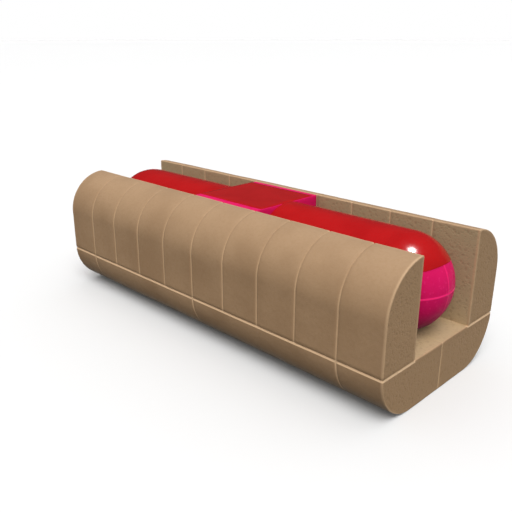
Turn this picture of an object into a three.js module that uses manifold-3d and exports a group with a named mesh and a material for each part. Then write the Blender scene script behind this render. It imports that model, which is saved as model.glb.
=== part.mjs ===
// A hot dog: a soft bun with a square-cut slot, a thick round-ended sausage that fills the slot from end to end
// and swells to a square block at its middle, and a layer of ketchup over the top of both.
// Millimetres, +X along the bun, +Z up. The origin is under the middle of the bun, on the face that it rests on.
import * as THREE from "three";
import { mergeVertices } from "three/addons/utils/BufferGeometryUtils.js";
import Module from "manifold-3d";

// Driving dimensions. One unit is the thickness of the bread, all round the slot.
const unit = 15;
const bunLength = 10 * unit;
const bunWidth = 4 * unit;
const bunHeight = 3 * unit;
const slotWidth = 2 * unit;
const slotFloor = unit;
const cornerRadius = unit;
const halfArcSteps = 5;

// Creases: a narrow V along the seam between base and sides, and across the sides and the base. The bread under
// them is one piece, whose surface is the floor of every crease.
const creaseEdge = 0.35;
const creaseFloor = 0.3;
const sideSegments = 10;
const baseSegmentEnds = [-5 * unit, -4 * unit, 0, 4 * unit, 5 * unit];

// Filling: a square block that clears the bread by a hair, and a capsule through it, only just slimmer.
const fillingGap = 0.3;
const blockLength = 2 * unit;
const blockWidth = slotWidth - 2 * fillingGap;
const blockEdge = 0.4;
const blockStandsOut = 0.1;
const sausageRadius = blockWidth / 2 - blockStandsOut;
const sausageAxisHeight = slotFloor + slotWidth / 2;
const aroundSteps = 40;
const capSteps = 10;

// Ketchup: thickest on the crest, thinner down the sides, over everything above its lower edge.
const ketchupGap = 0.2;
const ketchupOnCrest = 0.6;
const ketchupAtEdge = 0.4;
const ketchupLowerEdge = 2.5 * unit;
const ketchupSideMargin = 2.1;
const ketchupEndMargin = 0.3;

// Points of a mesh that lie closer together than this are one point.
const mergeDistance = 1e-4;

const wasm = await Module();
wasm.setup();

// Turns a closed three.js geometry into a solid that can be joined and cut.
function toSolid(geometry) {
  const bare = geometry.clone();
  bare.deleteAttribute("normal");
  bare.deleteAttribute("uv");
  const merged = mergeVertices(bare, mergeDistance);
  return new wasm.Manifold(
    new wasm.Mesh({
      numProp: 3,
      vertProperties: merged.attributes.position.array,
      triVerts: new Uint32Array(merged.index.array),
    }),
  );
}

// Turns a solid back into a three.js geometry.
function toGeometry(solid) {
  const made = solid.getMesh();
  const geometry = new THREE.BufferGeometry();
  geometry.setAttribute("position", new THREE.BufferAttribute(made.vertProperties, 3));
  geometry.setIndex(new THREE.BufferAttribute(made.triVerts, 1));
  geometry.computeVertexNormals();
  return geometry;
}

const joined = (solids) => solids.reduce((all, next) => all.add(next));

// Runs a profile, drawn with Y to the right and Z up, along X from one place to another.
function runAlong(profile, from, to, endBevel = 0) {
  const geometry = new THREE.ExtrudeGeometry(profile, {
    depth: to - from - 2 * endBevel,
    curveSegments: halfArcSteps,
    bevelEnabled: endBevel > 0,
    bevelThickness: endBevel,
    bevelSize: endBevel,
    bevelOffset: -endBevel,
    bevelSegments: 1,
  });
  geometry.translate(0, 0, from + endBevel);
  const alongX = new THREE.Matrix4().makeBasis(
    new THREE.Vector3(0, 1, 0),
    new THREE.Vector3(0, 0, 1),
    new THREE.Vector3(1, 0, 0),
  );
  return geometry.applyMatrix4(alongX);
}

// Bun: the profiles of its base and of one side, for the half on the +Y side.
function baseProfile() {
  const half = bunWidth / 2;
  const shape = new THREE.Shape();
  shape.moveTo(0, 0);
  shape.lineTo(half - cornerRadius, 0);
  const seam = -Math.asin(creaseEdge / cornerRadius);
  shape.absarc(half - cornerRadius, cornerRadius, cornerRadius, -Math.PI / 2, seam, false);
  shape.lineTo(half - creaseEdge, slotFloor);
  shape.lineTo(creaseEdge, slotFloor);
  shape.lineTo(0, slotFloor - creaseEdge);
  shape.closePath();
  return shape;
}

function sideProfile() {
  const half = bunWidth / 2;
  const inner = slotWidth / 2;
  const shape = new THREE.Shape();
  shape.moveTo(inner, slotFloor);
  shape.lineTo(half - creaseEdge, slotFloor);
  shape.lineTo(half, slotFloor + creaseEdge);
  shape.lineTo(half, bunHeight - cornerRadius);
  shape.absarc(half - cornerRadius, bunHeight - cornerRadius, cornerRadius, 0, Math.PI / 2, false);
  shape.closePath();
  return shape;
}

// The bread under the creases: the whole section, drawn in by the depth of a crease, except where it rests.
function coreProfile() {
  const inner = slotWidth / 2 + creaseFloor;
  const radius = cornerRadius - creaseFloor;
  const centre = bunWidth / 2 - cornerRadius;
  const top = bunHeight - cornerRadius;
  const rim = Math.asin(creaseFloor / radius);
  const shape = new THREE.Shape();
  shape.moveTo(-centre, 0);
  shape.lineTo(centre, 0);
  shape.absarc(centre, cornerRadius, radius, -Math.PI / 2, 0, false);
  shape.absarc(centre, top, radius, 0, Math.PI / 2 - rim, false);
  shape.lineTo(inner, slotFloor - creaseFloor);
  shape.lineTo(-inner, slotFloor - creaseFloor);
  shape.absarc(-centre, top, radius, Math.PI / 2 + rim, Math.PI, false);
  shape.absarc(-centre, cornerRadius, radius, Math.PI, 1.5 * Math.PI, false);
  shape.closePath();
  return shape;
}

function makeBun() {
  const coreEnd = bunLength / 2 - creaseFloor;
  const pieces = [toSolid(runAlong(coreProfile(), -coreEnd, coreEnd))];
  const bothHalves = (profile, from, to) => {
    const solid = toSolid(runAlong(profile, from, to, creaseEdge));
    pieces.push(solid, solid.mirror([0, 1, 0]));
  };
  for (let i = 0; i + 1 < baseSegmentEnds.length; i++) {
    bothHalves(baseProfile(), baseSegmentEnds[i], baseSegmentEnds[i + 1]);
  }
  const segmentLength = bunLength / sideSegments;
  for (let i = 0; i < sideSegments; i++) {
    const from = i * segmentLength - bunLength / 2;
    bothHalves(sideProfile(), from, from + segmentLength);
  }
  return joined(pieces);
}

// Filling, about the sausage's own axis, which lies along X at the height of the middle of the slot.
function capsule(radius) {
  const straight = bunLength - 2 * sausageRadius;
  const geometry = new THREE.CapsuleGeometry(radius, straight, capSteps, aroundSteps);
  return toSolid(geometry.rotateZ(Math.PI / 2));
}

// The middle block, or the same block grown by a margin all over.
function block(margin = 0) {
  const half = blockWidth / 2 + margin;
  const flat = half - blockEdge;
  const shape = new THREE.Shape();
  shape.moveTo(-flat, -half);
  shape.lineTo(flat, -half);
  shape.lineTo(half, -flat);
  shape.lineTo(half, flat);
  shape.lineTo(flat, half);
  shape.lineTo(-flat, half);
  shape.lineTo(-half, flat);
  shape.lineTo(-half, -flat);
  shape.closePath();
  const end = blockLength / 2 + margin;
  return toSolid(runAlong(shape, -end, end, blockEdge));
}

const makeSausage = () => capsule(sausageRadius).add(block());

// Ketchup: a capsule that lies a little higher than the sausage, so that what is left around the sausage thins out
// down its sides, and a slab on the block, a little narrower than the block.
function makeKetchup() {
  const inner = sausageRadius + ketchupGap;
  const edgeHeight = ketchupLowerEdge - sausageAxisHeight;
  const lift = (ketchupOnCrest - ketchupAtEdge) / (1 - edgeHeight / inner);
  const above = new THREE.BoxGeometry(bunLength, bunWidth, bunHeight);
  above.translate(0, 0, edgeHeight + bunHeight / 2);
  const coat = capsule(inner + ketchupOnCrest - lift).translate([0, 0, lift]).intersect(toSolid(above));

  const slabFoot = blockWidth / 2;
  const slabTop = blockWidth / 2 + ketchupGap + ketchupOnCrest;
  const slabLength = blockLength - 2 * ketchupEndMargin;
  const slabWidth = blockWidth - 2 * ketchupSideMargin;
  const slab = new THREE.BoxGeometry(slabLength, slabWidth, slabTop - slabFoot);
  slab.translate(0, 0, (slabTop + slabFoot) / 2);
  return coat.add(toSolid(slab)).subtract(capsule(inner)).subtract(block(ketchupGap));
}

const bread = new THREE.MeshStandardMaterial({ color: 0xc79d6e, roughness: 0.8, metalness: 0 });
const meat = new THREE.MeshStandardMaterial({ color: 0xd81f5c, roughness: 0.35, metalness: 0 });
const sauce = new THREE.MeshStandardMaterial({ color: 0xb81c1c, roughness: 0.2, metalness: 0 });

function named(name, solid, material) {
  const mesh = new THREE.Mesh(toGeometry(solid), material);
  mesh.name = name;
  return mesh;
}

const hotDog = new THREE.Group();
hotDog.add(named("bun", makeBun(), bread));

const filling = new THREE.Group();
filling.position.z = sausageAxisHeight;
filling.add(named("sausage", makeSausage(), meat));
filling.add(named("ketchup", makeKetchup(), sauce));
hotDog.add(filling);

export default hotDog;
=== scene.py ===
"""A hot dog: a bun with a square-cut slot, a sausage with a squared middle, and ketchup over the top.

Every length is in metres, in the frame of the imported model: X along the bun, Z up, and the origin under the
middle of the bun, where it rests. Sizes that are easier to read in millimetres are written as so many MM.
"""

from __future__ import annotations

import logging
import math
from collections.abc import Callable, Iterable, Iterator
from contextlib import contextmanager
from dataclasses import dataclass, field
from enum import Enum

import bmesh
import bpy
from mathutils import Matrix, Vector

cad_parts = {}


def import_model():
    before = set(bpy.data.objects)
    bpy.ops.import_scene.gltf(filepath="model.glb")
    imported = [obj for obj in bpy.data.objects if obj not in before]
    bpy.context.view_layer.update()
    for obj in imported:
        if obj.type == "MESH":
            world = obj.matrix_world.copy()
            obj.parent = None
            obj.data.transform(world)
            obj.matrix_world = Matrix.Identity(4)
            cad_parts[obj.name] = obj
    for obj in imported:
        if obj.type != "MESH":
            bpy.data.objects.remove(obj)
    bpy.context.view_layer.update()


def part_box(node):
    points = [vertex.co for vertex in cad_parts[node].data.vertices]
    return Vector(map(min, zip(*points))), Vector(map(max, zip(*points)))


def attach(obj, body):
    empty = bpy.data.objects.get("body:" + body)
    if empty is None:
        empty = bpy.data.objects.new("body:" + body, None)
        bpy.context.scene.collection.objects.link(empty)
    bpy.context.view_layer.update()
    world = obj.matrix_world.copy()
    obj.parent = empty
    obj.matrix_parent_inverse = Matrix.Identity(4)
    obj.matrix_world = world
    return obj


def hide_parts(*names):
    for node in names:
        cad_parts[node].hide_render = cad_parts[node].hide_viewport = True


MM = 0.001
LOG = logging.getLogger("hot_dog")

# How far apart places may be that count as one, the least cosine between directions that do, and how far off
# a count of steps may be.
HAIR = 0.01 * MM
STRAIGHT = 0.99
ROUNDING = 1e-6

# The bun's proportions, in thicknesses of the bread.
LENGTH = 10
WIDTH = 4
HEIGHT = 3

Colour = tuple[float, float, float, float]
Socket = bpy.types.NodeSocket


class Axis(Enum):
    """The three directions of the frame, each with its place in a vector."""

    X = 0
    Y = 1
    Z = 2

    def towards(self) -> Vector:
        """The unit vector along this axis."""
        return Vector([1.0 if place == self.value else 0.0 for place in range(3)])


class Pick(Enum):
    """What a click selects in edit mode."""

    POINTS = "VERT"
    EDGES = "EDGE"
    FACES = "FACE"


def take_up(*objects: bpy.types.Object) -> None:
    """Selects these objects alone, with the first as the active one.

    Args:
        objects: what the next operator works on.
    """
    if bpy.context.mode != "OBJECT":
        bpy.ops.object.mode_set(mode="OBJECT")
    bpy.ops.object.select_all(action="DESELECT")
    for piece in objects:
        piece.select_set(True)
    bpy.context.view_layer.objects.active = objects[0]


def between(low: float, high: float, step: float) -> list[float]:
    """Even places strictly between two others.

    Args:
        low: the lower end.
        high: the upper end.
        step: the widest gap wanted.

    Returns:
        The places, lowest first, without the two ends.
    """
    gaps = max(1, math.ceil((high - low) / step - ROUNDING))
    return [low + (high - low) * count / gaps for count in range(1, gaps)]


@dataclass(frozen=True)
class Relief:
    """An unevenness of a surface.

    Args:
        grain: the size of its bumps.
        depth: the height between its lowest and highest places.
        middle: the share of the depth that lies below the surface.
        octaves: how much finer detail it has.
    """

    grain: float
    depth: float
    middle: float = 0.5
    octaves: int = 2


class Workpiece:
    """One mesh that is modelled by hand: cut, pushed, bevelled and roughened in edit mode.

    Args:
        obj: the object that holds the mesh.
        name: the piece's name.
    """

    def __init__(self, obj: bpy.types.Object, name: str) -> None:
        """Takes up an object that has just been added, and fixes its place in its mesh."""
        self.obj = obj
        obj.name = name
        obj.data.name = name
        take_up(obj)
        bpy.ops.object.transform_apply(location=True, rotation=True, scale=True)

    @classmethod
    def box(cls, name: str, low: Vector, high: Vector) -> Workpiece:
        """Adds a box with this name, from its lowest corner to its highest."""
        bpy.ops.mesh.primitive_cube_add(size=1.0, location=(low + high) / 2, scale=high - low)
        return cls(bpy.context.object, name)

    @classmethod
    def ball(cls, name: str, centre: Vector, radius: float, around: int, rings: int) -> Workpiece:
        """Adds a ball whose poles lie along X.

        Args:
            name: the piece's name.
            centre: the middle of the ball.
            radius: its radius.
            around: faces around its axis.
            rings: faces from pole to pole.

        Returns:
            The new piece.
        """
        bpy.ops.mesh.primitive_uv_sphere_add(
            segments=around,
            ring_count=rings,
            radius=radius,
            location=centre,
            rotation=(0.0, math.pi / 2, 0.0),
        )
        return cls(bpy.context.object, name)

    @contextmanager
    def editing(self, pick: Pick) -> Iterator[None]:
        """Opens the mesh in edit mode with nothing selected, and closes it again.

        Args:
            pick: what is selected while it is open.
        """
        take_up(self.obj)
        bpy.ops.object.mode_set(mode="EDIT")
        bpy.ops.mesh.select_mode(type=pick.value)
        bpy.ops.mesh.select_all(action="DESELECT")
        yield
        bpy.ops.object.mode_set(mode="OBJECT")

    def select(self, pick: Pick, rule: Callable[..., bool]) -> None:
        """Selects what a rule says, inside edit mode.

        Args:
            pick: whether the rule is asked about points, edges or faces.
            rule: says of each one whether it is wanted.
        """
        mesh = bmesh.from_edit_mesh(self.obj.data)
        mesh.normal_update()
        elements = {Pick.POINTS: mesh.verts, Pick.EDGES: mesh.edges, Pick.FACES: mesh.faces}[pick]
        for element in [one for one in elements if rule(one)]:
            element.select_set(True)
        mesh.select_flush_mode()
        bmesh.update_edit_mesh(self.obj.data)

    def slice_at(self, axis: Axis, places: Iterable[float]) -> None:
        """Cuts new edges right round the piece, in planes across an axis.

        Args:
            axis: the axis that the planes cross.
            places: where they cross it.
        """
        with self.editing(Pick.FACES):
            for place in places:
                bpy.ops.mesh.select_all(action="SELECT")
                bpy.ops.mesh.bisect(plane_co=axis.towards() * place, plane_no=axis.towards(), threshold=HAIR)

    def weld(self, distance: float) -> None:
        """Merges points that lie closer together than a distance.

        Args:
            distance: the distance.
        """
        with self.editing(Pick.POINTS):
            bpy.ops.mesh.select_all(action="SELECT")
            bpy.ops.mesh.remove_doubles(threshold=distance)
            bpy.ops.mesh.dissolve_degenerate(threshold=HAIR)

    def divide_along(self, axis: Axis, longest: float, cuts: int) -> None:
        """Divides the edges that run along an axis and are longer than they should be.

        Args:
            axis: the axis that they run along.
            longest: the length above which an edge is divided.
            cuts: the number of new points on each.
        """

        def is_long(edge: bmesh.types.BMEdge) -> bool:
            """Says whether an edge runs along the axis and is too long."""
            along = edge.verts[1].co - edge.verts[0].co
            return along.length > longest and abs(along[axis.value]) > STRAIGHT * along.length

        with self.editing(Pick.EDGES):
            self.select(Pick.EDGES, is_long)
            bpy.ops.mesh.subdivide(number_cuts=cuts, quadcorner="STRAIGHT_CUT")

    def push(self, rule: Callable[[Vector], bool], height: float) -> None:
        """Moves points out along their normals, or in.

        Args:
            rule: says of each point's place whether it moves.
            height: how far out it goes, below zero for in.
        """
        with self.editing(Pick.POINTS):
            self.select(Pick.POINTS, lambda point: rule(point.co))
            bpy.ops.transform.shrink_fatten(value=height)

    def shift(self, rule: Callable[[Vector], bool], way: Vector) -> None:
        """Moves points straight.

        Args:
            rule: says of each point's place whether it moves.
            way: how far, and where to.
        """
        with self.editing(Pick.POINTS):
            self.select(Pick.POINTS, lambda point: rule(point.co))
            bpy.ops.transform.translate(value=way)

    def round_edges(self, rule: Callable[..., bool], radius: float, steps: int) -> None:
        """Rounds the edges that a rule names.

        Args:
            rule: says of each edge whether it is rounded.
            radius: the radius on a square corner.
            steps: the number of faces across the round.
        """
        with self.editing(Pick.EDGES):
            self.select(Pick.EDGES, rule)
            bpy.ops.mesh.bevel(
                offset_type="OFFSET", offset=radius, segments=steps, profile=0.5, clamp_overlap=False
            )

    def modify(self, kind: str, **settings: object) -> None:
        """Adds a modifier and applies it.

        Args:
            kind: the modifier's type.
            settings: its settings, by name.
        """
        take_up(self.obj)
        bpy.ops.object.modifier_add(type=kind)
        modifier = self.obj.modifiers[-1]
        for name, value in settings.items():
            setattr(modifier, name, value)
        bpy.ops.object.modifier_apply(modifier=modifier.name)

    def combine(self, other: Workpiece, operation: str) -> None:
        """Joins another piece to this one, by UNION, or cuts it away, by DIFFERENCE, and removes it."""
        self.modify("BOOLEAN", operation=operation, object=other.obj, solver="MANIFOLD")
        bpy.data.objects.remove(other.obj)

    def group(self, name: str, rule: Callable[[Vector], float]) -> str:
        """Makes a vertex group that holds each point as much as a rule says.

        Args:
            name: the group's name.
            rule: the weight at a place, from 0 to 1.

        Returns:
            The group's name.
        """
        made = self.obj.vertex_groups.new(name=name)
        for point in self.obj.data.vertices:
            weight = rule(point.co)
            if weight > 0.0:
                made.add([point.index], weight, "REPLACE")
        return made.name

    def paint(self, name: str, rule: Callable[[Vector], float]) -> None:
        """Keeps a number at each point, as a rule says of its place, for a material to read."""
        made = self.obj.data.attributes.new(name, "FLOAT", "POINT")
        made.data.foreach_set("value", [rule(point.co) for point in self.obj.data.vertices])

    def roughen(self, relief: Relief, group: str = "") -> None:
        """Gives the surface a natural unevenness.

        Args:
            relief: what the unevenness is like.
            group: the vertex group that it is held to, or nothing for all over.
        """
        texture = bpy.data.textures.new(self.obj.name + "_relief", "CLOUDS")
        texture.noise_basis = "IMPROVED_PERLIN"
        texture.noise_scale = relief.grain
        texture.noise_depth = relief.octaves
        self.modify(
            "DISPLACE",
            texture=texture,
            texture_coords="LOCAL",
            strength=relief.depth,
            mid_level=relief.middle,
            vertex_group=group,
        )
        bpy.data.textures.remove(texture)

    def smooth(self, sharpest: float) -> None:
        """Shades the piece smooth, but for edges that turn more than so many degrees."""
        take_up(self.obj)
        bpy.ops.object.shade_smooth_by_angle(angle=math.radians(sharpest))

    def finish(self, material: bpy.types.Material, slot: str, node: str) -> None:
        """Dresses the finished piece and puts it in the CAD node's stead.

        Args:
            material: what it is made of.
            slot: a material slot's name, which is not used.
            node: the CAD node that it stands for.
        """
        self.obj.data.materials.clear()
        self.obj.data.materials.append(material)
        self.obj.vertex_groups.clear()
        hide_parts(node)
        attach(self.obj, "root")
        faces = len(self.obj.data.polygons)
        LOG.info("%s: %d faces, %d triangles", self.obj.name, faces, self.triangles())

    def triangles(self) -> int:
        """The number of triangles in the mesh."""
        return sum(len(face.vertices) - 2 for face in self.obj.data.polygons)


class Blend(Enum):
    """What a mix node mixes: its own name for it, and the numbers of its two inputs and its output."""

    NUMBER = ("FLOAT", 2, 3, 0)
    VECTOR = ("VECTOR", 4, 5, 1)
    COLOUR = ("RGBA", 6, 7, 2)


class Nodes:
    """A node tree, with short ways to add to it.

    Args:
        tree: the tree.
    """

    def __init__(self, tree: bpy.types.NodeTree) -> None:
        """Takes the tree up."""
        self.tree = tree

    def add(self, kind: str, sockets: dict | None = None, **settings: object) -> bpy.types.Node:
        """Adds a node.

        Args:
            kind: the node's type.
            sockets: by input name or number, the value that it holds or the output that feeds it.
            settings: the node's own settings.

        Returns:
            The node.
        """
        node = self.tree.nodes.new(kind)
        for name, value in settings.items():
            setattr(node, name, value)
        for name, value in (sockets or {}).items():
            self.feed(node.inputs[name], value)
        return node

    def feed(self, socket: Socket, value: object) -> None:
        """Sets an input, or links an output to it.

        Args:
            socket: the input.
            value: a number, a colour or another node's output.
        """
        if isinstance(value, Socket):
            self.tree.links.new(value, socket)
        else:
            socket.default_value = value

    def calculate(self, operation: str, first: object, second: object) -> Socket:
        """One arithmetic step, such as ADD, on two numbers or outputs."""
        return self.add("ShaderNodeMath", {0: first, 1: second}, operation=operation).outputs[0]

    def mix(self, share: object, first: object, second: object, blend: Blend = Blend.COLOUR) -> Socket:
        """Mixes two colours, or two numbers or vectors.

        Args:
            share: how much of the second, from 0 to 1.
            first: a value or an output.
            second: a value or an output.
            blend: what they are.

        Returns:
            The output.
        """
        kind, first_input, second_input, output = blend.value
        sockets = {0: share, first_input: first, second_input: second}
        return self.add("ShaderNodeMix", sockets, data_type=kind).outputs[output]


class Paintbox(Nodes):
    """A material's node tree, with the patterns that the finishes are made of.

    Args:
        name: the material's name.
    """

    def __init__(self, name: str) -> None:
        """Makes the material with its shader, and the object coordinates that its patterns read."""
        self.material = bpy.data.materials.new(name)
        self.material.use_nodes = True
        super().__init__(self.material.node_tree)
        self.shader = self.tree.nodes["Principled BSDF"]
        self.place = self.add("ShaderNodeTexCoord").outputs["Object"]

    def noise(self, grain: float, detail: float = 3.0, roughness: float = 0.5) -> Socket:
        """A cloudy pattern from 0 to 1, in patches of one size, with so much finer detail, so rough."""
        sockets = {"Vector": self.place, "Scale": 1 / grain, "Detail": detail, "Roughness": roughness}
        return self.add("ShaderNodeTexNoise", sockets).outputs["Fac"]

    def cells(self, grain: float, wobble: float) -> Socket:
        """The distance to the nearest of many scattered points, in a space that a cloudy pattern distorts.

        Args:
            grain: how far apart the points are.
            wobble: how far they are shifted, in grains.

        Returns:
            The distance, in grains.
        """
        sockets = {"Vector": self.place, "Scale": 0.7 / grain, "Detail": 2.0}
        cloud = self.add("ShaderNodeTexNoise", sockets).outputs["Color"]
        shift = self.add("ShaderNodeVectorMath", {0: cloud, "Scale": wobble * grain}, operation="SCALE")
        place = self.add("ShaderNodeVectorMath", {0: self.place, 1: shift.outputs[0]}).outputs[0]
        return self.add("ShaderNodeTexVoronoi", {"Vector": place, "Scale": 1 / grain}).outputs["Distance"]

    def ramp(self, value: object, start: float, end: float, low: float = 0.0, high: float = 1.0) -> Socket:
        """Stretches part of a range smoothly over another.

        Args:
            value: what is stretched.
            start: where the part starts.
            end: where it ends.
            low: what the start becomes.
            high: what the end becomes.

        Returns:
            The output.
        """
        sockets = {"Value": value, "From Min": start, "From Max": end, "To Min": low, "To Max": high}
        return self.add("ShaderNodeMapRange", sockets, interpolation_type="SMOOTHSTEP").outputs["Result"]

    def patches(self, size: float, share: float) -> Socket:
        """Soft patches of a size: a share inside them, and 0 between them."""
        return self.ramp(self.noise(size), 0.35, 0.7, 0.0, share)

    def uneven(self, pattern: Socket, low: float, high: float) -> Socket:
        """A roughness that follows a pattern, from a low value to a high one."""
        return self.ramp(pattern, 0.3, 0.7, low, high)

    def below(self, low: float, high: float) -> Socket:
        """1 below the lower of two heights above the floor, 0 above the higher, and smooth between them."""
        height = self.add("ShaderNodeSeparateXYZ", {0: self.place}).outputs["Z"]
        return self.ramp(height, low, high, 1.0, 0.0)

    def attribute(self, name: str) -> Socket:
        """A number kept at the mesh's points."""
        return self.add("ShaderNodeAttribute", attribute_name=name).outputs["Fac"]

    def bump(self, relief: object, height: float) -> Socket:
        """The surface's normal, tilted as by a relief in which 1 is so high."""
        sockets = {"Height": relief, "Distance": height, "Strength": 1.0}
        return self.add("ShaderNodeBump", sockets).outputs["Normal"]

    def dress(self, **sockets: object) -> bpy.types.Material:
        """Sets the shader's sockets.

        Args:
            sockets: by name, with underscores for spaces, a value or an output.

        Returns:
            The finished material.
        """
        for name, value in sockets.items():
            self.feed(self.shader.inputs[name.replace("_", " ")], value)
        return self.material


@dataclass(frozen=True)
class BreadFinish:
    """Soft tan bread: a fine-grained crust, and an open crumb where it is cut.

    Args:
        crust: the crust's colour.
        crust_dark: its colour where it is baked a little more.
        foot_shade: a greyer, darker colour low down on the crust, painted shade.
        foot_heights: the heights between which that gives way to the crust's own.
        crumb: the colour of the cut ends.
        wall_painted_light: the crumb's colour at the top of the slot's walls, tinted greener to cancel the
            red light that the sausage and ketchup throw there, painted light.
        wall_low_painted_light: its colour at their bottom, paler to lift the shade deep in the slot, painted
            light.
        wall_heights: the heights of their bottom and their top.
        floor: its colour on the slot's floor, paler than the crumb to lift the shade there, painted light.
        pore_shade: the darker colour inside its pores, painted shade.
        pore_shade_share: how much of that shows.
        pale: the colour in the creases and along worn edges.
    """

    crust: Colour = (0.352, 0.223, 0.123, 1.0)
    crust_dark: Colour = (0.298, 0.183, 0.097, 1.0)
    foot_shade: Colour = (0.255, 0.205, 0.155, 1.0)
    foot_heights: tuple[float, float] = (3 * MM, 9 * MM)
    crumb: Colour = (0.335, 0.213, 0.113, 1.0)
    wall_painted_light: Colour = (0.340, 0.265, 0.153, 1.0)
    wall_low_painted_light: Colour = (0.460, 0.342, 0.198, 1.0)
    wall_heights: tuple[float, float] = (15 * MM, 45 * MM)
    floor: Colour = (0.540, 0.395, 0.225, 1.0)
    pore_shade: Colour = (0.190, 0.112, 0.058, 1.0)
    pore_shade_share: float = 0.22
    pale: Colour = (0.780, 0.540, 0.330, 1.0)

    def material(self) -> bpy.types.Material:
        """Makes the material.

        Returns:
            The material.
        """
        box = Paintbox("bread")
        grain = box.noise(grain=0.9 * MM, detail=4.0, roughness=0.6)
        crust = box.mix(box.patches(size=16 * MM, share=0.8), self.crust, self.crust_dark)
        crust = box.mix(box.ramp(grain, 0.45, 0.75, low=0.0, high=0.35), crust, self.crust_dark)
        # Painted shade: the crust turns greyer and darker towards the bottom.
        crust = box.mix(box.below(*self.foot_heights), crust, self.foot_shade)

        large = box.ramp(box.cells(grain=1.5 * MM, wobble=0.8), 0.12, 0.45, low=0.8, high=0.0)
        small = box.ramp(box.cells(grain=0.7 * MM, wobble=0.6), 0.10, 0.45, low=0.6, high=0.0)
        pores = box.calculate("MAXIMUM", large, small)
        # Painted light: the slot's walls get a greener crumb, paler towards their bottom, against the shade
        # and red light in the slot.
        wall_painted_light = box.mix(box.below(*self.wall_heights), self.wall_painted_light, self.wall_low_painted_light)
        crumb = box.mix(box.attribute("wall_painted_light"), self.crumb, wall_painted_light)
        # Painted light: the slot's floor gets a paler crumb, which lifts its shade.
        crumb = box.mix(box.attribute("floor"), crumb, self.floor)
        # Painted shade: the crumb darkens inside its pores.
        crumb = box.mix(box.calculate("MULTIPLY", pores, self.pore_shade_share), crumb, self.pore_shade)

        cut = box.attribute("cut")
        colour = box.mix(cut, crust, crumb)
        colour = box.mix(box.attribute("crease"), colour, self.pale)
        wrinkles = box.bump(box.noise(grain=1.6 * MM, detail=5.0, roughness=0.65), height=0.10 * MM)
        holes = box.bump(box.calculate("SUBTRACT", 1.0, pores), height=0.07 * MM)
        return box.dress(
            Base_Color=colour,
            Roughness=box.uneven(grain, low=0.70, high=0.88),
            Specular_IOR_Level=0.25,
            Normal=box.mix(cut, wrinkles, holes, Blend.VECTOR),
        )


@dataclass(frozen=True)
class SausageFinish:
    """Moist, bright pink sausage with finely chopped meat under a thin skin.

    Args:
        meat: the skin's colour.
        deep: its colour over the darker bits.
        fat: its colour over the paler bits.
        under: a dark colour at the bottom, where it lies in the bun, painted shade.
        under_heights: the heights between which that gives way to the skin's own.
        ridge: the colour of the raised lines.
        ridge_rise: how far up a line its colour starts, and how far up it is full.
        upright_share: how much of that colour the upright lines have.
    """

    meat: Colour = (0.62, 0.009, 0.105, 1.0)
    deep: Colour = (0.54, 0.007, 0.088, 1.0)
    fat: Colour = (0.70, 0.020, 0.140, 1.0)
    under: Colour = (0.06, 0.028, 0.090, 1.0)
    under_heights: tuple[float, float] = (15 * MM, 27 * MM)
    ridge: Colour = (1.00, 0.026, 0.190, 1.0)
    ridge_rise: tuple[float, float] = (0.3, 0.6)
    upright_share: float = 0.4

    def material(self) -> bpy.types.Material:
        """Makes the material.

        Returns:
            The material.
        """
        box = Paintbox("sausage_meat")
        colour = box.mix(box.patches(size=7 * MM, share=0.5), self.meat, self.deep)
        flecks = box.ramp(box.cells(grain=1.5 * MM, wobble=0.8), 0.10, 0.32, low=0.55, high=0.0)
        colour = box.mix(flecks, colour, self.fat)
        # Painted shade: the sausage turns darker towards its bottom.
        colour = box.mix(box.below(*self.under_heights), colour, self.under)
        level = box.ramp(box.attribute("level_line"), *self.ridge_rise)
        upright = box.ramp(box.attribute("upright_line"), *self.ridge_rise, high=self.upright_share)
        colour = box.mix(box.calculate("MAXIMUM", level, upright), colour, self.ridge)
        return box.dress(
            Base_Color=colour,
            Roughness=box.uneven(box.noise(grain=2.5 * MM), low=0.34, high=0.46),
            Specular_IOR_Level=0.02,
            Subsurface_Weight=0.1,
            Subsurface_Radius=(1.0, 0.25, 0.25),
            Subsurface_Scale=2 * MM,
            Normal=box.bump(box.noise(grain=1.1 * MM, detail=4.0, roughness=0.6), height=0.05 * MM),
        )


@dataclass(frozen=True)
class KetchupFinish:
    """Glossy tomato red.

    Args:
        red: the sauce's colour.
        thick: its colour where it lies thicker.
    """

    red: Colour = (0.400, 0.006, 0.007, 1.0)
    thick: Colour = (0.350, 0.004, 0.005, 1.0)

    def material(self) -> bpy.types.Material:
        """Makes the material.

        Returns:
            The material.
        """
        box = Paintbox("ketchup")
        pulp = box.noise(grain=0.7 * MM, detail=3.0, roughness=0.6)
        return box.dress(
            Base_Color=box.mix(box.patches(size=9 * MM, share=0.7), self.red, self.thick),
            Roughness=box.uneven(pulp, low=0.16, high=0.21),
            Specular_IOR_Level=0.25,
            Normal=box.bump(pulp, height=0.003 * MM),
        )


class Line(Enum):
    """The lines on the bun, each with how pale it is. No two are alike, and below 0 counts as 0."""

    NONE = 0.0
    FLOOR_MIDDLE = -0.1
    SCORE = 0.6
    WALL_SCORE = 0.5
    BASE_SCORE = 1.0
    SEAM = 0.7
    END_SEAM = 0.95
    END_MIDDLE = 0.65
    RIDGE = 0.2
    RIM = 0.26


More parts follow.
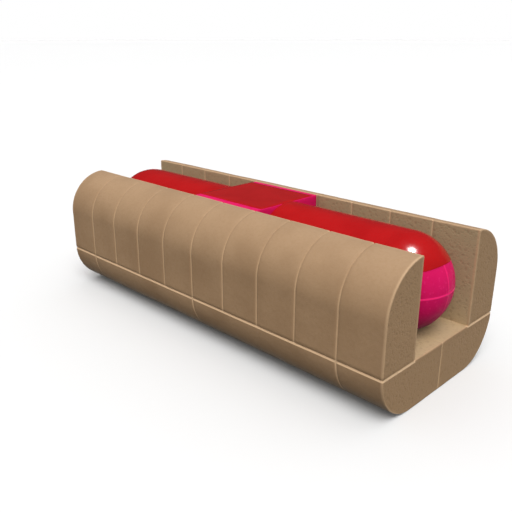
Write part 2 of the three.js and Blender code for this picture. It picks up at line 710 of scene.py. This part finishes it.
@dataclass
class Bun:
    """One piece of bread: a base and two sides round a square slot, scored across at even steps.

    Args:
        unit: the thickness of the bread.
        arc_steps: faces across each quarter round.
        mesh_step: the spacing of the mesh on flat faces.
        crease: half the width of a crease.
        crease_depth: how deep it is.
        band: how far below the seam the bread is as pale as in it.
        fade: how far below that it turns as dark as the crust.
        edge: the radius of the sharp edges.
        segments: how many steps the scores divide the bun into.
        base_every: which of the scores, counted from the middle, runs on over the base.
        top_loss: how much of their paleness the scores lose over the top.
        top_rate: how fast they lose it, as they run up the round.
        floor_painted_light_at_end: how much of the slot floor's painted light, its paler crumb, is left at
            the bun's ends.
        calm: how far from an edge the relief reaches its full height.
    """

    unit: float
    arc_steps: int = 22
    mesh_step: float = 0.9 * MM
    crease: float = 0.4 * MM
    crease_depth: float = 0.3 * MM
    band: float = 0.45 * MM
    fade: float = 0.15 * MM
    edge: float = 0.3 * MM
    segments: int = 10
    base_every: int = 4
    top_loss: float = 0.9
    top_rate: float = 1.4
    floor_painted_light_at_end: float = 0.6
    calm: float = 2 * MM
    crust_relief: tuple[Relief, ...] = (Relief(16 * MM, 0.30 * MM), Relief(2.4 * MM, 0.06 * MM))
    cut_relief: tuple[Relief, ...] = (Relief(1.8 * MM, 0.08 * MM, 1.0, 3),)
    finish: BreadFinish = BreadFinish()

    def __post_init__(self) -> None:
        """Works the bun's sizes out from the thickness of the bread."""
        self.end = LENGTH / 2 * self.unit
        self.side = WIDTH / 2 * self.unit
        self.top = HEIGHT * self.unit
        self.shoulder = self.top - self.unit
        self.seam = self.unit
        self.step = 2 * self.end / self.segments

    def build(self) -> Workpiece:
        """Models the bun and dresses it.

        Returns:
            The bun.
        """
        piece = self.blank()
        self.lay_mesh(piece)
        piece.round_edges(self.is_sharp, self.edge, steps=2)
        piece.weld(3 * HAIR)
        piece.paint("crease", self.paleness)
        piece.paint("cut", self.cut)
        # Painted light: marks the slot's walls for the crumb colour that lifts their shade.
        piece.paint("wall_painted_light", lambda place: self.in_slot(place) if place.z > self.seam + HAIR else 0.0)
        # Painted light: marks the slot's floor for its paler crumb, less so at the bun's ends.
        piece.paint("floor", self.floor)
        crust = piece.group("crust", self.crust)
        cut = piece.group("cut", self.loose)
        piece.push(lambda place: self.line_at(place) not in (Line.NONE, Line.END_SEAM), -self.crease_depth)
        piece.push(lambda place: self.line_at(place) is Line.END_SEAM, -self.crease_depth / 2)
        for relief in self.crust_relief:
            piece.roughen(relief, crust)
        for relief in self.cut_relief:
            piece.roughen(relief, cut)
        piece.smooth(sharpest=50)
        piece.finish(self.finish.material(), "bread", "bun")
        return piece

    def blank(self) -> Workpiece:
        """Raises the two sides on the base and rounds the outer corners.

        Returns:
            The plain bun.
        """
        low = Vector((-self.end, -self.side, 0.0))
        piece = Workpiece.box("hot_dog_bun", low, Vector((self.end, self.side, self.seam)))
        piece.slice_at(Axis.Y, (-self.unit, self.unit))
        with piece.editing(Pick.FACES):
            piece.select(
                Pick.FACES,
                lambda face: face.normal.z > STRAIGHT and abs(face.calc_center_median().y) > self.unit,
            )
            rise = (0.0, 0.0, self.top - self.seam)
            bpy.ops.mesh.extrude_region_move(TRANSFORM_OT_translate={"value": rise})
        almost_whole = 0.99999 * self.unit
        piece.round_edges(self.is_outer_corner, almost_whole, self.arc_steps)
        piece.weld(HAIR)
        return piece

    def is_outer_corner(self, edge: bmesh.types.BMEdge) -> bool:
        """Says whether an edge is one of the four long corners outside.

        Args:
            edge: the edge.

        Returns:
            True for those four.
        """
        ends = [point.co for point in edge.verts]
        along = abs(ends[0].x - ends[1].x) > HAIR
        outside = all(abs(abs(place.y) - self.side) < HAIR for place in ends)
        level = all(place.z < HAIR or place.z > self.top - HAIR for place in ends)
        return along and outside and level

    def is_sharp(self, edge: bmesh.types.BMEdge) -> bool:
        """Says whether an edge turns outwards by more than the facets of a round do."""
        facet = math.radians(40)
        return len(edge.link_faces) == 2 and edge.is_convex and edge.calc_face_angle() > facet

    def lay_mesh(self, piece: Workpiece) -> None:
        """Lays a close, even mesh over the bun, with three lines along each crease.

        Args:
            piece: the plain bun.
        """
        turns = [math.pi / 2 * count / self.arc_steps for count in range(1, self.arc_steps)]
        arcs = [self.unit * math.sin(turn) for turn in turns]
        arcs = [rise for rise in arcs if rise < self.unit - self.edge]
        edges = (-self.crease, 0.0, self.crease)
        flat = between(self.crease, self.unit, self.mesh_step)
        half = [self.unit, *flat, *(self.unit + rise for rise in arcs)]
        piece.slice_at(Axis.Y, [*edges, *half, *(-place for place in half)])
        dark = self.band + self.fade
        levels = [self.seam + rise for rise in (-dark, -self.band, 0.0, self.crease)]
        levels += [self.seam - rise for rise in arcs if rise > dark + self.edge]
        levels += between(self.seam + self.crease, self.shoulder, self.mesh_step)
        levels += [self.shoulder + rise for rise in arcs]
        piece.slice_at(Axis.Z, [*levels, self.shoulder])
        scores = [self.step * count - self.end for count in range(1, self.segments)]
        piece.slice_at(Axis.X, [score + rise for score in scores for rise in edges])
        piece.divide_along(Axis.X, self.step / 2, math.ceil(self.step / self.mesh_step) - 1)

    def line_at(self, place: Vector) -> Line:
        """Says which crease a point lies along.

        Args:
            place: the point.

        Returns:
            The kind of crease, or Line.NONE.
        """
        across, height = abs(place.y), place.z
        count = round(place.x / self.step)
        if abs(place.x - count * self.step) < HAIR and abs(count) < self.segments / 2:
            if height > self.seam - HAIR and across > self.unit - HAIR:
                return Line.SCORE
            if height > self.edge and across > self.unit and count % self.base_every == 0:
                return Line.BASE_SCORE
        if abs(height - self.seam) < HAIR and self.on_side(place):
            return Line.SEAM
        if abs(place.x) > self.end - 2 * self.edge and height > self.edge:
            if abs(height - self.seam) < HAIR and across > self.unit - HAIR:
                return Line.END_SEAM
            if across < HAIR:
                return Line.END_MIDDLE
        if across < HAIR and height > self.seam - 2 * self.edge:
            return Line.FLOOR_MIDDLE
        return Line.NONE

    def paleness(self, place: Vector) -> float:
        """How pale a point is: the creases, less so where they run over the top, and the edges.

        Args:
            place: the point.

        Returns:
            From 0 to 1.
        """
        if self.on_band(place):
            return Line.SEAM.value if self.on_side(place) else Line.END_SEAM.value
        line = self.line_at(place)
        if line is Line.SCORE:
            if abs(place.y) < self.unit + self.edge:
                return Line.WALL_SCORE.value
            up_round = (place.z - self.shoulder) / self.unit
            return line.value * (1.0 - self.top_loss * min(1.0, max(0.0, self.top_rate * up_round)))
        if line is not Line.NONE:
            return line.value
        if place.z > self.top - self.edge - HAIR and abs(place.y) < self.unit + self.edge + HAIR:
            return Line.RIDGE.value
        rim = abs(place.x) > self.end - self.edge - HAIR and not self.clear_of_rim(place)
        return Line.RIM.value if rim and place.z > self.edge + HAIR else 0.0

    def on_side(self, place: Vector) -> bool:
        """Says whether a point is on one of the long sides."""
        return abs(place.y) > self.side - 2 * self.edge

    def on_band(self, place: Vector) -> bool:
        """Says whether a point lies in the pale band of the seam, on a long side or an end."""
        end = abs(place.x) > self.end - 2 * self.edge and abs(place.y) > self.unit - HAIR
        return self.seam - self.band - HAIR < place.z < self.seam + HAIR and (end or self.on_side(place))

    def clear_of_rim(self, place: Vector) -> bool:
        """Says whether a point of an end face lies clear of the face's edge.

        Args:
            place: the point.

        Returns:
            True if it does.
        """
        inset = self.edge + HAIR
        if place.z < self.seam - HAIR:
            out = math.hypot(max(0.0, abs(place.y) - self.unit), self.unit - place.z)
            return place.z > inset and (abs(place.y) < self.unit or out < self.unit - inset)
        if abs(place.y) < self.unit + inset:
            return place.z < self.seam - inset
        if place.z < self.shoulder:
            return abs(place.y) < self.side - inset
        return math.hypot(abs(place.y) - self.unit, place.z - self.shoulder) < self.unit - inset

    def cut(self, place: Vector) -> float:
        """Says whether a point is on a cut face: 1 on the ends and inside the slot, and otherwise 0."""
        slot = place.z > self.seam - HAIR and abs(place.y) < self.unit + HAIR
        return 1.0 if slot or abs(place.x) > self.end - HAIR else 0.0

    def in_slot(self, place: Vector) -> float:
        """Says whether a point is in the slot: 1 on its walls and its floor, and otherwise 0."""
        clear = abs(place.x) < self.end - self.edge and place.z < self.top - self.edge
        return 1.0 if clear and self.cut(place) else 0.0

    def floor(self, place: Vector) -> float:
        """Says how far a point has the paler colour of the slot's floor, painted light that gives way towards
        the bun's ends.
        """
        share = min(1.0, self.floor_painted_light_at_end + (self.end - abs(place.x)) / self.unit)
        return 0.0 if place.z > self.seam + HAIR or not self.in_slot(place) else share

    def loose(self, place: Vector) -> float:
        """Says how uneven the crumb is at a point, which is less the nearer it is to an edge.

        Args:
            place: the point.

        Returns:
            From 0 to 1.
        """
        if not self.cut(place):
            return 0.0
        across = abs(place.y)
        from_edges = [self.side - across, self.top - place.z, place.z]
        if abs(place.x) > self.end - HAIR:
            from_edges.append(abs(across - self.unit) if place.z > self.seam else abs(place.z - self.seam))
        else:
            from_edges.append(self.end - abs(place.x))
        return min(1.0, max(0.0, min(from_edges) / self.calm))

    def crust(self, place: Vector) -> float:
        """Says how much a point belongs to the crust, which fades out where the bun rests."""
        return 0.0 if self.cut(place) else min(1.0, place.z / self.calm)


@dataclass
class Sausage:
    """A round-ended sausage, as long as the bun, with a square block at its middle.

    Args:
        unit: the thickness of the bread.
        gap: how far the round part keeps off the bread.
        block_gap: how far the block keeps off it.
        around: faces around the sausage.
        mesh_step: the spacing of the mesh along it.
        ridge: half the width of the raised lines.
        ridge_height: how high they stand.
        upright_height: how high the upright ones stand, as a share of that.
        edge: the radius of the block's edges.
    """

    unit: float
    gap: float = 0.12 * MM
    block_gap: float = 0.08 * MM
    around: int = 96
    mesh_step: float = 1.0 * MM
    ridge: float = 0.55 * MM
    ridge_height: float = 0.06 * MM
    upright_height: float = 0.6
    edge: float = 0.25 * MM
    relief: tuple[Relief, ...] = (Relief(9 * MM, 0.10 * MM), Relief(1.8 * MM, 0.03 * MM))
    finish: SausageFinish = SausageFinish()

    def __post_init__(self) -> None:
        """Works the sausage's sizes out from the slot's."""
        self.axis = 2 * self.unit
        self.centre = Vector((0.0, 0.0, self.axis))
        self.radius = self.unit - self.gap
        self.straight = LENGTH / 2 * self.unit - self.radius
        self.half_block = self.unit - self.block_gap

    def build(self) -> Workpiece:
        """Models the sausage and dresses it.

        Returns:
            The sausage.
        """
        piece = self.capsule("hot_dog_sausage", self.radius)
        piece.slice_at(Axis.Z, (self.axis - self.ridge, self.axis + self.ridge))
        piece.slice_at(Axis.Y, (-self.ridge, self.ridge))
        piece.paint("level_line", self.level_line)
        piece.paint("upright_line", self.upright_line)
        lines = piece.group("lines", self.line_height)
        piece.modify("DISPLACE", strength=self.ridge_height, mid_level=0.0, vertex_group=lines)
        piece.combine(self.block(), "UNION")
        for relief in self.relief:
            piece.roughen(relief)
        piece.smooth(sharpest=35)
        piece.finish(self.finish.material(), "sausage_meat", "sausage")
        return piece

    def capsule(self, name: str, radius: float) -> Workpiece:
        """Draws a ball out along the bun.

        Args:
            name: the piece's name.
            radius: the ball's radius.

        Returns:
            The round-ended bar.
        """
        piece = Workpiece.ball(name, self.centre, radius, self.around, self.around // 2)
        piece.shift(lambda place: place.x > HAIR, Vector((self.straight, 0.0, 0.0)))
        piece.shift(lambda place: place.x < -HAIR, Vector((-self.straight, 0.0, 0.0)))
        piece.divide_along(Axis.X, self.straight / 2, round(self.straight / self.mesh_step))
        return piece

    def block(self) -> Workpiece:
        """Makes the square block, with soft edges and a close mesh.

        Returns:
            The block.
        """
        reach = Vector((self.unit, self.half_block, self.half_block))
        piece = Workpiece.box("block", self.centre - reach, self.centre + reach)
        piece.round_edges(lambda edge: True, self.edge, steps=3)
        for axis in Axis:
            middle = self.centre[axis.value]
            half = self.half_block - self.edge
            piece.slice_at(axis, between(middle - half, middle + half, self.mesh_step))
        return piece

    def line_height(self, place: Vector) -> float:
        """How high a point is raised by the lines, as a share of the ridge's height."""
        return max(self.level_line(place), self.upright_height * self.upright_line(place))

    def level_line(self, place: Vector) -> float:
        """How far up the raised line a point is that runs level all round: 1 on its crest, 0 beside it."""
        return max(0.0, 1.0 - abs(place.z - self.axis) / self.ridge)

    def upright_line(self, place: Vector) -> float:
        """How far up the raised line a point is that runs up a tip: 1 on its crest, 0 beside it."""
        return max(0.0, 1.0 - abs(place.y) / self.ridge) if abs(place.x) > self.straight else 0.0


@dataclass
class Ketchup:
    """A thin coat over the top of the sausage and its block.

    Args:
        sausage: what it lies on.
        thickness: how thick it is on the crest.
        lift: how far its middle lies above the sausage's, which thins it out down the sides.
        lower_edge: the height of its lower edge.
        tip: how far out along the bun that edge starts to rise.
        tip_slope: how steeply it rises round the tips.
        margin: how far it stays inside the block's sides.
        sunk: how far its underside sinks in the sausage.
        edge: the radius of its edges on the block.
        mesh_step: the spacing of the mesh on the block.
    """

    sausage: Sausage
    thickness: float = 0.22 * MM
    lift: float = 0.22 * MM
    lower_edge: float = 37.4 * MM
    tip: float = 71.2 * MM
    tip_slope: float = 0.35
    margin: float = 2.3 * MM
    sunk: float = 0.12 * MM
    edge: float = 0.3 * MM
    mesh_step: float = 1.2 * MM
    relief: tuple[Relief, ...] = (Relief(7 * MM, 0.06 * MM),)
    finish: KetchupFinish = KetchupFinish()

    def build(self) -> Workpiece:
        """Models the coat and dresses it.

        Returns:
            The coat.
        """
        sausage = self.sausage
        piece = sausage.capsule("hot_dog_ketchup", sausage.radius + self.thickness - self.lift)
        piece.shift(lambda place: True, Vector((0.0, 0.0, self.lift)))
        piece.combine(self.slab(), "UNION")
        for relief in self.relief:
            piece.roughen(relief)
        piece.combine(sausage.capsule("core", sausage.radius - self.sunk), "DIFFERENCE")
        piece.combine(self.core_block(), "DIFFERENCE")
        piece.combine(self.lower_part(), "DIFFERENCE")
        piece.weld(3 * HAIR)
        piece.smooth(sharpest=35)
        piece.finish(self.finish.material(), "ketchup", "ketchup")
        return piece

    def lower_part(self) -> Workpiece:
        """Makes what is cut away below the coat's lower edge.

        Returns:
            A block, level on top but for its ends, which rise.
        """
        reach = Vector((LENGTH / 2 + 1, WIDTH / 2, 0.0)) * self.sausage.unit
        piece = Workpiece.box("lower_part", -reach, reach + Vector((0.0, 0.0, self.lower_edge)))
        piece.slice_at(Axis.X, (-self.tip, self.tip))
        rise = Vector((0.0, 0.0, self.tip_slope * (reach.x - self.tip)))
        piece.shift(lambda place: place.z > HAIR and abs(place.x) > self.tip + HAIR, rise)
        return piece

    def core_block(self) -> Workpiece:
        """Makes what the coat leaves free for the block.

        Returns:
            A box, smaller than the block by what the coat sinks in, and by twice that at its ends.
        """
        sausage = self.sausage
        half = sausage.half_block - self.sunk
        reach = Vector((sausage.unit - 2 * self.sunk, half, half))
        return Workpiece.box("core_block", sausage.centre - reach, sausage.centre + reach)

    def slab(self) -> Workpiece:
        """Makes the part of the coat that lies on the block.

        Returns:
            The slab, which reaches down into the block.
        """
        sausage = self.sausage
        block_top = sausage.axis + sausage.half_block
        top = block_top + self.thickness
        reach = Vector((sausage.unit - self.sunk, sausage.half_block - self.margin, 0.0))
        low = -reach + Vector((0.0, 0.0, block_top - 2 * self.sunk))
        piece = Workpiece.box("slab", low, reach + Vector((0.0, 0.0, top)))
        piece.round_edges(lambda edge: all(end.co.z > top - HAIR for end in edge.verts), self.edge, steps=3)
        for axis in (Axis.X, Axis.Y):
            half = reach[axis.value] - self.edge
            piece.slice_at(axis, between(-half, half, self.mesh_step))
        return piece


@dataclass(frozen=True)
class Studio:
    """A pale floor under soft light from above, with one small bright lamp.

    Args:
        floor_size: the floor's side.
        floor_colour: its colour.
        soft_strength: the strength of the broad light.
        soft_angle: how broad it is, in degrees.
        soft_from: where it comes from.
        lamp_strength: the strength of the small lamp.
        lamp_angle: how broad that is, in degrees.
        lamp_from: where it comes from.
        backdrop: the brightness of the white behind everything.
        sky: the brightness of the light from above the horizon.
        ground: the brightness of the light from below it.
        horizon: how far above and below the horizon the one gives way to the other.
        mirrored: the brightness that glossy surfaces mirror.
    """

    floor_size: float = 40.0
    floor_colour: Colour = (0.72, 0.72, 0.72, 1.0)
    soft_strength: float = 2.4
    soft_angle: float = 40.0
    soft_from: Vector = field(default_factory=lambda: Vector((0.375, -0.375, 0.848)))
    lamp_strength: float = 5.0
    lamp_angle: float = 13.0
    lamp_from: Vector = field(default_factory=lambda: Vector((0.185, 0.131, 0.974)))
    backdrop: float = 1.0
    sky: float = 0.80
    ground: float = 0.05
    horizon: float = 0.05
    mirrored: float = 0.05

    def build(self) -> None:
        """Lays the floor and hangs the lights."""
        self.lay_floor()
        soft = self.hang("soft_light", self.soft_strength, self.soft_angle, self.soft_from)
        soft.visible_glossy = False
        lamp = self.hang("lamp", self.lamp_strength, self.lamp_angle, self.lamp_from)
        lamp.visible_diffuse = False
        self.paint_world()
        bpy.context.scene.view_settings.view_transform = "Standard"

    def lay_floor(self) -> None:
        """Lays the floor."""
        bpy.ops.mesh.primitive_plane_add(size=self.floor_size, location=(0.0, 0.0, 0.0))
        floor = bpy.context.object
        floor.name = "floor"
        floor.data.materials.append(Paintbox("floor").dress(Base_Color=self.floor_colour, Roughness=0.9))
        floor.visible_diffuse = False

    def hang(self, name: str, strength: float, angle: float, place: Vector) -> bpy.types.Object:
        """Hangs one light.

        Args:
            name: its name.
            strength: how strong it is.
            angle: how broad it looks, in degrees.
            place: where it comes from.

        Returns:
            The light.
        """
        bpy.ops.object.light_add(type="SUN", location=place)
        light = bpy.context.object
        light.name = name
        light.data.energy = strength
        light.data.angle = math.radians(angle)
        light.rotation_euler = place.to_track_quat("Z", "Y").to_euler()
        return light

    def paint_world(self) -> None:
        """Makes the world white to the camera, and dimmer as a light and in mirrors."""
        world = bpy.data.worlds.new("studio")
        world.use_nodes = True
        bpy.context.scene.world = world
        nodes = Nodes(world.node_tree)
        direction = nodes.add("ShaderNodeTexCoord").outputs["Generated"]
        height = nodes.add("ShaderNodeSeparateXYZ", {0: direction}).outputs["Z"]
        heights = {"Value": height, "From Min": -self.horizon, "From Max": self.horizon}
        lights = {"To Min": self.ground, "To Max": self.sky}
        strength = nodes.add("ShaderNodeMapRange", heights | lights).outputs["Result"]
        path = nodes.add("ShaderNodeLightPath")
        for ray, value in (("Is Glossy Ray", self.mirrored), ("Is Camera Ray", self.backdrop)):
            strength = nodes.mix(path.outputs[ray], strength, value, Blend.NUMBER)
        background = nodes.tree.nodes["Background"]
        nodes.feed(background.inputs["Color"], (1.0, 1.0, 1.0, 1.0))
        nodes.feed(background.inputs["Strength"], strength)


@dataclass(frozen=True)
class PhotoCamera:
    """The photo's camera: over the right front corner, looking down a little.

    Args:
        unit: the thickness of the bread.
        back: how many units it stands off along X, and as many along Y.
        rise: how far it stands above its aim, as a share of how far it stands off along X.
        aim: the height of what it looks at, in units.
        field_of_view: the angle of the square picture, in degrees.
        shift: how far the picture is shifted up, as a share of its height.
        nearest: how near the camera sees.
    """

    unit: float
    back: float = 9.9
    rise: float = 0.5
    aim: float = 1.5
    field_of_view: float = 45.0
    shift: float = -0.001
    nearest: float = 10 * MM

    def build(self) -> None:
        """Sets the camera up."""
        aim = Vector((0.0, 0.0, self.aim)) * self.unit
        place = aim + Vector((1.0, -1.0, self.rise)) * self.back * self.unit
        bpy.ops.object.camera_add(location=place)
        camera = bpy.context.object
        camera.name = "photo_camera"
        camera.rotation_euler = (aim - place).to_track_quat("-Z", "Y").to_euler()
        camera.data.angle = math.radians(self.field_of_view)
        camera.data.shift_y = self.shift
        camera.data.clip_start = self.nearest
        bpy.context.scene.camera = camera


def main() -> None:
    """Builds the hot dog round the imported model, piece by piece."""
    logging.basicConfig(level=logging.INFO, format="%(name)s: %(message)s")
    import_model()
    low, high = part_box("bun")
    unit = (high.x - low.x) / LENGTH
    PhotoCamera(unit).build()
    Studio().build()
    LOG.info("bread %.1f mm thick, floor, lights and camera in place", unit / MM)
    Bun(unit).build()
    sausage = Sausage(unit)
    sausage.build()
    Ketchup(sausage).build()


if __name__ == "__main__":
    main()
